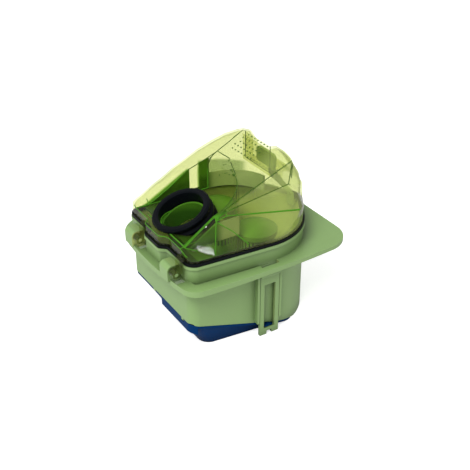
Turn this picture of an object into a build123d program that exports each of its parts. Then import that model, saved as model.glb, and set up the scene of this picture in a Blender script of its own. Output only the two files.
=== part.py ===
from build123d import *
import math
import os

# Cyclone dust bin with a clear hinged hood, a tipping base flap and two cyclone shrouds.
# Millimetres. X runs from the lid hinge (-X) to the rear nose (+X), Z is up, z = 0 is the
# surface the bin stands on. The pieces are moved along X at the end, so that the middle of
# the whole bin is at x = 0.

# Mounting flange around the tub
flange_length = 213.8
flange_width = 177.0
flange_centre_x = 3.6
flange_top = 90.0
flange_thick = 4.0
flange_side_bow = 4.0
flange_hinge_bow = 7.5
flange_near_round = 18.0
flange_far_round = 40.0
flange_rear_round = 32.0
lip_drop = 6.5
lip_wall = 2.4
lip_level_x = -60.0          # from here the lip tapers off towards the rear
band_width = 12.5            # raised outer band of the flange
groove_depth = 2.0
groove_end_x = 13.0

# Rim outline, seen from above: straight hinge end, spreading sides, blunt rear nose
hinge_margin = 15.3          # flange beyond the rim at the hinge end
rear_margin = 16.5
side_margin = 10.5
rim_flare = 10.0
rim_shoulder_x = 48.0
rim_nose_half = 8.0
rim_hinge_round = 12.0
rim_shoulder_round = 70.0
rim_nose_round = 14.0
lobe_reach = 7.0
lobe_root_half = 22.0
lobe_tip_half = 15.5
lobe_round = 5.0
rim_hinge_x = flange_centre_x - flange_length / 2 + hinge_margin
rim_nose_x = flange_centre_x + flange_length / 2 - rear_margin
rim_shoulder_half = flange_width / 2 - side_margin
rim_hinge_half = rim_shoulder_half - rim_flare

# Bin tub
tub_wall = 2.6
tub_floor = 3.0
rim_top = 108.7
bead_out = 1.6
bead_height = 3.4
part_line_high = 37.0        # parting line height at the hinge end
part_line_end_x = 45.0       # where the parting line reaches the ground plane
dump_end_x = -26.0           # rear edge of the dump opening
dump_ledge = 6.0

# Lid hinge
hinge_out = 10.0             # hinge axis beyond the rim
hinge_z = 100.0
hinge_pin_r = 2.0
hinge_block_r = 5.6
hinge_block_width = 17.0
hinge_block_rise = 5.0       # slope of the block up to the rim wall
hinge_knuckle_r = 4.6
hinge_knuckle_width = 9.0
hinge_knuckle_near_y = (22.0, -59.0)   # near edge of the two lid knuckles
hinge_arm_thick = 3.2
hinge_arm_gap = 1.6
hinge_arm_rise = 5.5
hinge_side_gap = 0.6
knuckle_pocket_margin = 1.2
hinge_x = rim_hinge_x - hinge_out

# Clear lid hood
lid_wall = 2.2
lid_inset = 0.6
lid_seat = 112.2             # underside of the hood's rim wall
deck_top = 123.0
hood_side = 95.0             # half width of the untrimmed hood
hood_low = -20.0
hood_high = 260.0
ridge_y = 50.0               # far wall of the inlet recess
crest_y = 60.0               # far fender
fender_out = (6.0, 11.5, 15.0)         # fender points beyond the crest
fender_fall = (0.10, 0.38, 0.75)       # and their share of the crest's height over the eave
eave_drop = 8.0
crest_line = [(-99.0, 123.0), (-88.0, 123.0), (-80.0, 125.6), (-64.0, 137.3), (-48.0, 146.0), (-33.0, 155.8),
              (-17.5, 163.4), (-2.0, 170.4), (14.0, 175.6), (30.0, 180.0), (46.0, 182.5), (54.0, 180.8),
              (59.0, 178.0), (66.0, 164.0), (76.0, 146.0), (86.0, 133.0), (105.0, 120.0)]
ridge_line = [(-99.0, 122.9), (-72.0, 123.2), (-50.0, 134.3), (-36.0, 143.5), (-21.5, 152.3), (-10.0, 156.8),
              (3.5, 159.8), (22.0, 168.2), (37.0, 176.2), (51.0, 183.6), (59.0, 182.6), (66.0, 172.0),
              (76.0, 157.0), (86.0, 142.0), (105.0, 120.0)]
fan_apex = (-46.5, -48.4, 146.6)       # where the near folds meet
fin_foot = (-82.7, -48.4, 122.6)
roof_corner = (50.5, -45.2, 183.6)
fold_corner = (50.5, -40.4, 154.0)
shelf_corner = (50.5, -63.0, 133.4)
skirt_front = (-59.5, -70.0, 116.0)
skirt_rear = (-20.5, -72.4, 118.3)
skirt_level = 116.5          # foot of the near side by the hinge
fan_spread = 0.012           # share of the fin's slope between the folds at their apex
hood_front_x = -99.0
near_stations = [hood_front_x, fin_foot[0], -72.0, skirt_front[0], fan_apex[0], -33.0, skirt_rear[0],
                 -4.0, 14.0, 32.0, roof_corner[0]]
rear_steps = 2               # sections laid between two of the rear sections, plus one
# rear sections: x, then the near folds from the roof down to the shelf
rear_sections = [
    (54.5, [(-36.0, 183.2), (-41.5, 178.5), (-43.0, 171.0), (-43.0, 161.2), (-41.2, 150.5), (-60.5, 132.3)]),
    (59.0, [(-17.0, 182.4), (-32.5, 177.5), (-41.0, 170.5), (-43.5, 160.5), (-42.0, 146.5), (-57.0, 131.0)]),
    (66.0, [(-9.0, 173.5), (-24.0, 170.0), (-37.0, 162.5), (-41.5, 152.0), (-40.0, 138.0), (-48.0, 128.5)]),
    (76.0, [(-6.0, 158.0), (-15.0, 155.5), (-24.0, 149.5), (-27.5, 141.0), (-26.0, 129.0), (-35.0, 123.5)]),
    (86.0, [(-4.0, 142.0), (-8.0, 141.0), (-13.0, 137.0), (-15.5, 131.5), (-15.5, 125.0), (-21.0, 121.0)]),
    (105.0, [(-3.0, 120.0), (-6.0, 119.8), (-9.0, 119.6), (-12.0, 119.4), (-15.0, 119.2), (-18.0, 119.0)]),
]
recess_rear_x = 3.5
recess_near_y = -46.6
recess_turn_y = -3.0
recess_bend = (-5.0, -25.5)
recess_blend = 13.0          # how far the rear wall's rounded head reaches
recess_blend_end_y = -7.0
recess_belly = 0.22          # where the rounded head's middle lies, as a share of its reach
pocket_front_x = 51.5        # finger pocket in the rear of the hood
pocket_floor = 151.5
pocket_y = (-3.4, 46.0)

# Lid gasket
gasket_out = 0.9
gasket_in = 4.2
seal_gap = 0.3

# Inlet seal ring, tilted towards the hinge, and the duct under it
seal_x = -60.0
seal_z = 138.0
seal_tilt = 22.5
seal_outer_r = 33.0
seal_inner_r = 25.5
seal_lip = 4.0
seal_groove = 2.0
seal_bulge = 1.4
seal_depth = 34.0
throat_r = 22.5
throat_wall = 2.0
throat_span = (-36.0, -14.0)  # along the inlet axis, below the seal's top plane
duct_gap = 0.15
duct_plate = 2.4
duct_wall = 1.6
duct_x = (-76.0, -18.0)
duct_far_end_x = 6.5
duct_window_x = (-19.0, -6.0)          # gap in the far guide wall
duct_sill = 3.0
duct_far_drop = 2.2          # top of the far guide wall below the ridge
duct_near_drop = 7.0
volute_r = 51.0
volute_top = 140.0
volute_end_y = 13.0

# Base flap
flap_gap = 0.4
flap_inset = 0.6
flap_plate = 3.0
flap_wall = 2.4
flap_rear_x = 38.0
tray_end_x = 18.0
hull_front_x = -69.0
hull_near_y = -59.0
hull_far_y = 30.0
hull_flare = 14.0
hull_corner = 14.0
hull_edge_round = 2.0
skirt_depth = 11.0           # deep part of the flap's edge at the hinge end
skirt_thick = 8.0
skirt_far_y = 0.0
flap_hinge_in = 2.2          # hinge axis inside the hinge-end wall
flap_hinge_r = 1.9
flap_pin_r = 0.9
flap_tongue_y = (14.0, -50.0)
flap_tongue_width = 4.0
flap_tongue_rise = 5.0
base_seal_width = 3.0
base_seal_height = 2.0
base_seal_edge = 1.0

# Side latches
latch_x = 2.0
latch_width = 24.0
latch_thick = 3.5
latch_stand = 5.5            # outer face beyond the tub wall
latch_foot = 0.8
latch_window_width = 14.0
latch_window_top = 66.0
latch_bar_top = 9.0
latch_bar_depth = 4.2
latch_notch_width = 6.5
latch_pivot_z = 78.0
latch_pivot_wall = 1.2
latch_pin_r = 1.5
latch_nub_width = 11.0
latch_nub_height = 2.0
latch_nub_gap = 0.3
latch_nub_root = 3.0
latch_nub_inset = 0.6
rail_width = 2.8
rail_gap = 0.6
rail_foot = 18.0
slot_depth = 5.4
slot_inset = 0.6

# Lid catch in the finger pocket
catch_axis = (64.0, 141.5)
catch_pin_r = 1.5
catch_y = (-2.0, 8.0)
catch_pad_y = (-2.4, 33.0)
catch_pad_x = 58.0
catch_pad_thick = 3.2
catch_pad_top = 170.0
catch_pad_gap = 0.8
catch_pad_round = 5.0
catch_boss_r = 3.6
catch_arm_half = 2.0
catch_ear_width = 3.0
catch_side_gap = 0.6
catch_slot = (57.2, 63.6)    # opening in the pocket floor
catch_hook_grip = 1.8        # reach of the hook under the tub's ledge
catch_hook_height = 3.4
catch_leg = 3.0
catch_elbow_z = 114.0
ledge_reach = 3.6
ledge_z = (103.5, 107.0)
ledge_gap = 0.4
spring_half = 1.6            # half width of the catch's return spring
spring_r = 3.0
spring_turns = 4
spring_wire_r = 0.45
spring_gap = 0.15
spring_coil_share = 0.96     # share of the pitch that the wire takes up

# Cyclone separator
deck_level = 41.0
deck_plate = 3.0
deck_front_x = -24.0
deck_clearance = 0.5
deck_collar = 4.0
shroud_x = 10.0
shroud_y = 40.0
shroud_r = 20.5
shroud_wall = 2.0
shroud_top_near = 110.5
shroud_top_far = 102.0
shroud_slots = 30
shroud_slot_width = 1.8
shroud_slot_low = 60.0
shroud_slot_drop = 6.0
cap_r = 23.0
cap_rise = 9.6
cap_shoulder = 2.4
cap_wall = 1.8
cap_skirt = 3.0
cap_spigot = 5.0
fit_gap = 0.2
vortex_r = 12.0
vortex_wall = 1.8
vortex_top = 92.0
vortex_flange = 4.0
vortex_flange_thick = 2.0
vortex_drop = 8.0
screw_head_r = 3.0
screw_head_height = 2.0
screw_r = 1.4
screw_length = 7.0
screw_hole_gap = 0.3
screw_slot = (3.4, 0.9)
screw_boss_r = 4.0
screw_edge = 8.0
screw_side_y = 52.0

# Outlet filter
outlet_x = (46.5, 76.5)
outlet_half = 19.0
outlet_slots = 5
outlet_slot_width = 3.4
filter_frame_wall = 2.0
filter_frame_height = 14.0
filter_pleats = 7
filter_sheet = 2.2
filter_margin = 0.4

# Running fits
pin_press = 0.05
pin_run = 0.08
overlap = 1.0                # how far joined shapes run into each other
REACH = 200.0


def closed_face(points, radii):
    """Flat outline with rounded corners."""
    return make_face(FilletPolyline(*points, radius=radii, close=True))


def prism(face, low, high):
    return extrude(Pos(0, 0, low) * face, amount=high - low, dir=(0, 0, 1))


def side_slab(points, low_y, high_y):
    """Prism across Y from an outline in X and Z."""
    outline = make_face(Polyline(*[(x, 0, z) for x, z in points], close=True))
    return Pos(0, low_y, 0) * extrude(outline, amount=high_y - low_y, dir=(0, 1, 0))


def box(low, high):
    size = [b - a for a, b in zip(low, high)]
    return Pos(*low) * Box(*size, align=(Align.MIN, Align.MIN, Align.MIN))


def bar_y(x, z, radius, low_y, high_y):
    """Round bar along Y."""
    rod = Cylinder(radius, high_y - low_y, align=(Align.CENTER, Align.CENTER, Align.MIN))
    return Pos(x, low_y, z) * Rot(-90, 0, 0) * rod


def bar_x(y, z, radius, low_x, high_x):
    """Round bar along X."""
    rod = Cylinder(radius, high_x - low_x, align=(Align.CENTER, Align.CENTER, Align.MIN))
    return Pos(low_x, y, z) * Rot(0, 90, 0) * rod


def post(x, y, radius, low, high):
    rod = Cylinder(radius, high - low, align=(Align.CENTER, Align.CENTER, Align.MIN))
    return Pos(x, y, low) * rod


def far_copy(shape):
    return mirror(shape, about=Plane.XZ)


def along(line, x):
    """Height of a line of (x, z) points at x."""
    for (x0, z0), (x1, z1) in zip(line, line[1:]):
        if x <= x1:
            return z0 + (z1 - z0) * (x - x0) / (x1 - x0)
    return line[-1][1]


def between(start, end, x):
    """Point (y, z) at x on the straight line from start to end."""
    share = (x - start[0]) / (end[0] - start[0])
    return start[1] + share * (end[1] - start[1]), start[2] + share * (end[2] - start[2])


# Outlines

def tub_outline():
    points = [
        (rim_hinge_x, -rim_hinge_half),
        (rim_shoulder_x, -rim_shoulder_half),
        (rim_nose_x, -rim_nose_half),
        (rim_nose_x, rim_nose_half),
        (rim_shoulder_x, rim_shoulder_half),
        (rim_hinge_x, rim_hinge_half),
    ]
    half = [rim_hinge_round, rim_shoulder_round, rim_nose_round]
    return closed_face(points, half + half[::-1])


def rim_outline():
    """Tub outline with the lobe between the two lid hinges."""
    lobe_points = [
        (rim_hinge_x + lobe_reach, -lobe_root_half - lobe_reach),
        (rim_hinge_x, -lobe_root_half),
        (rim_hinge_x - lobe_reach, -lobe_tip_half),
        (rim_hinge_x - lobe_reach, lobe_tip_half),
        (rim_hinge_x, lobe_root_half),
        (rim_hinge_x + lobe_reach, lobe_root_half + lobe_reach),
    ]
    body = tub_outline()
    lobe = make_face(Polyline(*lobe_points, close=True))
    face = (body + lobe).face()
    corners = face.vertices().filter_by(lambda v: abs(v.Y) < lobe_root_half + 1 and v.X < rim_hinge_x + 1)
    return fillet(corners, lobe_round)


def flange_outline(inset=0.0):
    """Flange seen from above: bowed sides and hinge end, straight rear edge."""
    half_w = flange_width / 2 - inset
    hinge_end_x = flange_centre_x - flange_length / 2 + inset
    rear_end_x = flange_centre_x + flange_length / 2 - inset
    hinge_corner = (hinge_end_x + flange_hinge_bow, half_w - flange_side_bow)
    rear_corner = (rear_end_x, half_w - flange_side_bow)
    near_rear = (rear_corner[0], -rear_corner[1])
    near_hinge = (hinge_corner[0], -hinge_corner[1])
    edges = [
        ThreePointArc(hinge_corner, (0, half_w), rear_corner),
        Line(rear_corner, near_rear),
        ThreePointArc(near_rear, (0, -half_w), near_hinge),
        ThreePointArc(near_hinge, (hinge_end_x, 0), hinge_corner),
    ]
    face = make_face(edges)
    rear_corners = face.vertices().filter_by(lambda v: v.X > 0)
    face = fillet(rear_corners, flange_rear_round - inset)
    near = face.vertices().filter_by(lambda v: v.X < 0 and v.Y < 0).sort_by(Axis.X)[:1]
    face = fillet(near, flange_near_round - inset)
    far = face.vertices().filter_by(lambda v: v.X < 0 and v.Y > 0).sort_by(Axis.X)[:1]
    return fillet(far, flange_far_round - inset)


def part_line(x):
    """Height of the sloping joint between tub and base flap."""
    return part_line_high * (part_line_end_x - x) / (part_line_end_x - rim_hinge_x)


TUB = tub_outline()
RIM = rim_outline()
FLANGE = flange_outline()


def below_part_line(lift, end_x=REACH):
    """Everything under the parting line, raised by lift, back to end_x."""
    points = [(-REACH, -REACH), (-REACH, part_line(-REACH) + lift), (part_line_end_x, lift)]
    if end_x > part_line_end_x:
        points.append((end_x, lift))
    points.append((end_x, -REACH))
    return side_slab(points, -REACH, REACH)


def near_wall_y(x):
    """Outer face of the straight near wall."""
    share = (x - rim_hinge_x) / (rim_shoulder_x - rim_hinge_x)
    return -(rim_hinge_half + share * rim_flare)


latch_face_y = latch_stand - near_wall_y(latch_x)
latch_pivot_y = latch_face_y - latch_thick / 2
latch_left = latch_x - latch_width / 2
latch_right = latch_x + latch_width / 2
hinge_pairs = [(y, y + hinge_knuckle_width) for y in hinge_knuckle_near_y]
ledge_x = rim_nose_x - tub_wall - ledge_reach
bin_middle_x = (hinge_x - hinge_block_r + flange_centre_x + flange_length / 2) / 2


# Bin tub

def hinge_block(low_y):
    """Block on the flange beside a lid knuckle, sloping up to the rim wall."""
    high_y = low_y + hinge_block_width
    points = [
        (hinge_x - hinge_block_r, flange_top - flange_thick / 2),
        (hinge_x - hinge_block_r, hinge_z),
        (hinge_x, hinge_z + hinge_block_r),
        (rim_hinge_x + overlap, hinge_z + hinge_block_rise),
        (rim_hinge_x + overlap, flange_top - flange_thick / 2),
    ]
    return side_slab(points, low_y, high_y) + bar_y(hinge_x, hinge_z, hinge_block_r, low_y, high_y)


def latch_rails():
    """Guide rails either side of the near latch."""
    rails = Part()
    for low_x in (latch_left - rail_gap - rail_width, latch_right + rail_gap):
        inner_y = near_wall_y(low_x) + tub_wall / 2
        rails += box((low_x, -latch_face_y, rail_foot),
                     (low_x + rail_width, inner_y, flange_top - flange_thick / 2))
    return rails


def latch_pin(radius):
    low_x = latch_left - rail_gap - rail_width
    return bar_x(-latch_pivot_y, latch_pivot_z, radius, low_x, latch_right + rail_gap + rail_width)


def outlet_slots_cut():
    cuts = Part()
    step = (outlet_x[1] - outlet_x[0]) / outlet_slots
    half = outlet_slot_width / 2
    for i in range(outlet_slots):
        x = outlet_x[0] + (i + 0.5) * step
        cuts += box((x - half, -outlet_half, -overlap), (x + half, outlet_half, tub_floor + overlap))
    return cuts


def flap_axis():
    x = rim_hinge_x + flap_hinge_in
    return x, part_line(x) - flap_gap - flap_plate / 2


def flap_tongues(gap):
    """Two tongues under the hinge-end wall that carry the flap's pin, or their room in the flap."""
    x, z = flap_axis()
    tongues = Part()
    for y in flap_tongue_y:
        low, high = y - gap, y + flap_tongue_width + gap
        tongue = bar_y(x, z, flap_hinge_r + 2 * gap, low, high)
        tongue += box((rim_hinge_x - gap, low, z), (x + flap_hinge_r + gap, high, z + flap_tongue_rise))
        tongues += tongue
    return tongues


def flap_pin(radius):
    x, z = flap_axis()
    low = min(flap_tongue_y) - flap_tongue_width
    high = max(flap_tongue_y) + 2 * flap_tongue_width
    return bar_y(x, z, radius, low, high)


def edge_relief():
    """Room for the flap's edge in the foot of the hinge-end wall."""
    x, z = flap_axis()
    edge_x = flap_hinge_in - flap_inset
    edge_z = part_line(rim_hinge_x + flap_inset) - flap_gap - z
    return bar_y(x, z, math.hypot(edge_x, edge_z) + flap_gap, -rim_hinge_half, rim_hinge_half)


def screw_places():
    edge = deck_front_x + screw_edge
    return [(shroud_x, 0), (edge, screw_side_y), (edge, -screw_side_y)]


def flange_lip():
    """Rim hanging from the flange's edge, tapering off towards the rear."""
    low = flange_top - lip_drop
    floor = flange_top - flange_thick
    rear_x = flange_centre_x + flange_length / 2
    lip = prism(FLANGE, low, flange_top) - prism(flange_outline(lip_wall), 0, flange_top)
    taper = [(lip_level_x, low), (rear_x, floor), (rear_x, 0), (lip_level_x, 0)]
    return lip - side_slab(taper, -REACH, REACH)


def flange_groove():
    """Sunk inner part of the flange between the raised band and the rim wall."""
    ring = prism(flange_outline(band_width), flange_top - groove_depth, flange_top + overlap)
    ring &= box((-REACH, -REACH, 0), (groove_end_x, REACH, REACH))
    return ring - prism(RIM, 0, REACH)


def catch_ledge():
    """Ledge inside the nose that the lid catch hooks under."""
    shelf = box((ledge_x, catch_y[0] - overlap, ledge_z[0]), (REACH, catch_y[1] + overlap, ledge_z[1]))
    return shelf & prism(offset(TUB, -tub_wall / 2), 0, REACH)


def bin_tub():
    shell = prism(TUB, 0, flange_top) + prism(RIM, flange_top - flange_thick, rim_top)
    shell += prism(offset(RIM, bead_out), rim_top - bead_height, rim_top)
    shell += prism(FLANGE, flange_top - flange_thick, flange_top) + flange_lip()
    shell -= flange_groove()
    shell -= below_part_line(0, part_line_end_x)
    inner = offset(TUB, -tub_wall)
    cavity = prism(inner, -overlap, rim_top + overlap) - below_part_line(tub_floor)
    cavity += prism(offset(RIM, -tub_wall), flange_top, rim_top + overlap)
    shell -= cavity
    dump = prism(offset(inner, -dump_ledge), -overlap, part_line_high + tub_floor)
    shell -= dump & box((-REACH, -REACH, -REACH), (dump_end_x, REACH, flange_top))
    shell -= outlet_slots_cut()
    rails = latch_rails()
    shell += rails + far_copy(rails)
    for low, high in hinge_pairs:
        shell += hinge_block(high + hinge_side_gap)
        margin = knuckle_pocket_margin
        shell -= box((hinge_x - margin, low - margin, 0),
                     (rim_hinge_x - margin, high + hinge_side_gap / 2, flange_top + overlap))
        shell -= hinge_pin_bar(low, hinge_pin_r + pin_press)
    outer_y = near_wall_y(latch_x) - slot_inset
    slot = box((latch_left + overlap, outer_y - slot_depth, flange_top - flange_thick - overlap),
               (latch_right - overlap, outer_y, flange_top + overlap))
    pin = latch_pin(latch_pin_r + pin_press)
    for cut in (slot, far_copy(slot), pin, far_copy(pin), edge_relief()):
        shell -= cut
    shell += flap_tongues(0)
    shell -= flap_pin(flap_pin_r + pin_press)
    shell += catch_ledge()
    for x, y in screw_places():
        shell += post(x, y, screw_boss_r, 0, deck_level) - below_part_line(tub_floor / 2)
        shell -= post(x, y, screw_r, deck_level - screw_length, deck_level + overlap)
    return shell


def hinge_pin_bar(low_y, radius):
    length = hinge_knuckle_width + hinge_side_gap + hinge_block_width
    return bar_y(hinge_x, hinge_z, radius, low_y, low_y + length)


# Clear hood

def fan_slope():
    """Fall of the skirt facet under the apex, per millimetre outwards."""
    y, z = between(skirt_front, skirt_rear, fan_apex[0])
    return (fan_apex[2] - z) / (fan_apex[1] - y)


def shelf_height(x, y):
    """Height of the flat facet under the lowest fold, through the apex and both its far corners."""
    apex = Vector(*fan_apex)
    normal = (Vector(*shelf_corner) - apex).cross(Vector(*skirt_rear) - apex)
    return apex.Z - (normal.X * (x - apex.X) + normal.Y * (y - apex.Y)) / normal.Z


def near_folds(x):
    """Corners of the near side from the roof edge down, forward of the rear sections."""
    foot_y = near_wall_y(x) - overlap
    if x > fan_apex[0]:
        corners = [between(fan_apex, corner, x) for corner in (roof_corner, fold_corner, shelf_corner)]
        if x <= skirt_rear[0]:
            return corners + [between(fan_apex, skirt_rear, x)]
        return corners + [(foot_y, shelf_height(x, foot_y))]
    ridge = between(fin_foot, fan_apex, max(x, fin_foot[0]))
    if x == fan_apex[0]:
        return [ridge]
    if x == skirt_front[0]:
        return [ridge, skirt_front[1:]]
    if x > fin_foot[0]:
        return [ridge, between(fin_foot, skirt_front, x), (foot_y, skirt_level)]
    return [ridge, (foot_y, skirt_level)]


def steps(start, end, shares):
    """Points at these shares of the way from start to end."""
    return [(start[0] + s * (end[0] - start[0]), start[1] + s * (end[1] - start[1])) for s in shares]


def spread_folds(x, points, first):
    """The seven fold points of a section that has only its corners, so that all sections match."""
    spread = [i * fan_spread for i in range(7)]
    if x > fan_apex[0]:
        spread = [0, 0.25, 0.5, 0.75]
    elif x == skirt_front[0]:
        spread = spread[:5] + [1 - fan_spread]
    elif fin_foot[0] < x < skirt_front[0]:
        spread = spread[:5]
    elif x < fan_apex[0]:
        spread = spread[:6]
    return points[:first] + steps(points[first], points[first + 1], spread) + points[first + 1:]


def smooth_value(x, places, values):
    """Value at x on the smooth curve through these values."""
    last = len(places) - 1
    i = max(k for k in range(last) if places[k] <= x)
    slopes = []
    for k in (i, i + 1):
        low, high = max(k - 1, 0), min(k + 1, last)
        slopes.append((values[high] - values[low]) / (places[high] - places[low]))
    span = places[i + 1] - places[i]
    t = (x - places[i]) / span
    start, end = values[i], values[i + 1]
    bend = t * (1 - t) * span
    return start + (3 - 2 * t) * t * t * (end - start) + bend * ((1 - t) * slopes[0] - t * slopes[1])


def rear_folds():
    """Sections behind the roof corner, laid smoothly through the named ones."""
    corners = near_folds(roof_corner[0])
    first = steps(corners[0], corners[1], (0, 0.25, 0.5, 0.75)) + corners[1:3]
    named = [(roof_corner[0], first)] + rear_sections
    places = [x for x, folds in named]
    sections = []
    for start, end in zip(places, places[1:]):
        for step in range(1, rear_steps + 1):
            x = start + (end - start) * step / rear_steps
            where = min(x, places[-1] - overlap / REACH)
            folds = []
            for track in range(len(first)):
                y, z = [smooth_value(where, places, [f[track][side] for _, f in named]) for side in (0, 1)]
                folds.append((y, z))
            folds.append((folds[-1][0] - 2 * lid_wall, folds[-1][1] - 3 * lid_wall))
            sections.append((x, folds))
    return sections


def hood_section(x, folds, inset):
    """Closed outline across the hood at one x, from the far side over the roof to the near side."""
    crest = along(crest_line, x)
    ridge = along(ridge_line, x)
    eave = deck_top - eave_drop
    points = [(hood_side, hood_low), (hood_side, eave)]
    for out, fall in zip(fender_out[::-1], fender_fall[::-1]):
        points.append((crest_y + out, crest - fall * (crest - eave)))
    points += [(crest_y, crest), ((crest_y + ridge_y) / 2, (crest + ridge) / 2 + overlap), (ridge_y, ridge)]
    first = len(points)
    points += folds
    last_y, last_z = folds[-1]
    slope = fan_slope()
    if skirt_rear[0] < x <= roof_corner[0]:
        slope = (last_z - shelf_height(x, -hood_side)) / (hood_side + last_y)
    points.append((-hood_side, last_z - slope * (hood_side + last_y)))
    points.append((-hood_side, hood_low))
    if inset:
        points = inset_points(points, inset)
    return spread_folds(x, points, first) if x <= roof_corner[0] else points


def inset_points(points, gap):
    """Outline moved inwards by gap, corner by corner; the points run anticlockwise."""
    moved = []
    count = len(points)
    for i in range(count):
        normals = []
        for start, end in ((points[i - 1], points[i]), (points[i], points[(i + 1) % count])):
            step = (end[0] - start[0], end[1] - start[1])
            length = math.hypot(*step)
            normals.append((-step[1] / length, step[0] / length))
        (ay, az), (by, bz) = normals
        reach = gap / max(1 + ay * by + az * bz, 0.5)
        moved.append((points[i][0] + reach * (ay + by), points[i][1] + reach * (az + bz)))
    return moved


def hood_loft(inset):
    """Solid of the folded hood before it is trimmed to the rim outline."""
    faces = []
    for x, folds in [(x, near_folds(x)) for x in near_stations] + rear_folds():
        points = hood_section(x, folds, inset)
        faces.append(make_face(Polyline(*[(x, y, z) for y, z in points], close=True)))
    return loft(faces, ruled=True)


def recess_outline(grow):
    """Plan of the inlet recess: open at the hinge, long far wall, swept rear wall."""
    front = -REACH
    far_y = ridge_y + grow
    rear = recess_rear_x + grow
    near_y = recess_near_y - grow
    turn_y = recess_turn_y
    bend = (recess_bend[0] + grow * math.sqrt(0.5), recess_bend[1] - grow * math.sqrt(0.5))
    lines = [
        Line((front, near_y), (front, far_y)),
        Line((front, far_y), (rear, far_y)),
        Line((rear, far_y), (rear, turn_y)),
        ThreePointArc((rear, turn_y), bend, (fan_apex[0], near_y)),
        Line((fan_apex[0], near_y), (front, near_y)),
    ]
    return make_face(lines)


def roof_height(x, y):
    near_y, near_z = between(fan_apex, roof_corner, x)
    far_z = along(ridge_line, x)
    return far_z + (near_z - far_z) * (ridge_y - y) / (ridge_y - near_y)


def recess_head():
    """Cutter that rounds the head of the recess's rear wall into the roof, fading out at the near end."""
    faces = []
    for y, reach in ((ridge_y, recess_blend), (ridge_y / 2, recess_blend), (recess_blend_end_y, overlap)):
        x = recess_rear_x
        top = roof_height(x, y)
        behind = (x + reach, y, roof_height(x + reach, y))
        below = (x, y, top - reach)
        middle = (x + recess_belly * reach, y, top - recess_belly * reach)
        above = top + 4 * recess_blend
        edges = [
            ThreePointArc(below, middle, behind),
            Polyline(behind, (behind[0], y, above), (x - recess_blend, y, above),
                     (x - recess_blend, y, below[2]), below),
        ]
        faces.append(make_face(edges))
    return loft(faces, ruled=True)


def seal_frame():
    """Tilted frame of the inlet seal, Z along its axis."""
    return Pos(seal_x, 0, seal_z) * Rot(0, -seal_tilt, 0)


def throat_bar(radius, margin):
    low, high = throat_span
    rod = Cylinder(radius, high - low + 2 * margin, align=(Align.CENTER, Align.CENTER, Align.MIN))
    return seal_frame() * Pos(0, 0, low - margin) * rod


def hood_knuckle(low, high):
    """Lid hinge knuckle with its cranked arm over the rim."""
    arm_face = rim_hinge_x - bead_out - hinge_arm_gap
    arm_back = arm_face - hinge_arm_thick
    inner_x = rim_hinge_x + lid_inset + lid_wall / 2
    points = [
        (arm_back, hinge_z),
        (arm_back, lid_seat + hinge_arm_rise / 2),
        (arm_face, lid_seat + hinge_arm_rise),
        (inner_x, lid_seat + hinge_arm_rise),
        (inner_x, lid_seat + overlap),
        (arm_face, lid_seat + overlap),
        (arm_face, hinge_z),
    ]
    return bar_y(hinge_x, hinge_z, hinge_knuckle_r, low, high) + side_slab(points, low, high)


def catch_ears():
    """Ears under the pocket floor that carry the catch pin."""
    x, z = catch_axis
    ears = Part()
    for low in (catch_y[0] - catch_side_gap - catch_ear_width, catch_y[1] + catch_side_gap):
        high = low + catch_ear_width
        ear = bar_y(x, z, catch_boss_r, low, high)
        ear += box((x - catch_boss_r, low, z), (x + catch_boss_r, high, pocket_floor - lid_wall / 2))
        ears += ear
    return ears


def lid_hood():
    outline = offset(RIM, -lid_inset)
    head = recess_head()
    body = hood_loft(0) & prism(outline, lid_seat, hood_high)
    body -= prism(recess_outline(0), deck_top, hood_high)
    body -= head
    body -= box((pocket_front_x, pocket_y[0], pocket_floor), (REACH, pocket_y[1], hood_high))
    hollow = hood_loft(lid_wall) & prism(offset(outline, -lid_wall), lid_seat - overlap, hood_high)
    hollow -= prism(recess_outline(lid_wall), deck_top - lid_wall, hood_high)
    hollow -= Pos(lid_wall, 0, -lid_wall) * head
    hollow -= box((pocket_front_x - lid_wall, pocket_y[0] - lid_wall, pocket_floor - lid_wall),
                  (REACH, pocket_y[1] + lid_wall, hood_high))
    hood = body - hollow
    for low, high in hinge_pairs:
        hood += hood_knuckle(low, high)
        hood -= hinge_pin_bar(low, hinge_pin_r + pin_run)
    hood -= throat_bar(throat_r + throat_wall + duct_gap, -throat_span[1])
    hood += catch_ears()
    hood -= catch_pin(catch_pin_r + pin_press)
    hood -= box((catch_slot[0], catch_y[0] - catch_side_gap, pocket_floor - 2 * lid_wall),
                (catch_slot[1], catch_y[1] + catch_side_gap, pocket_floor + overlap))
    return hood


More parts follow.
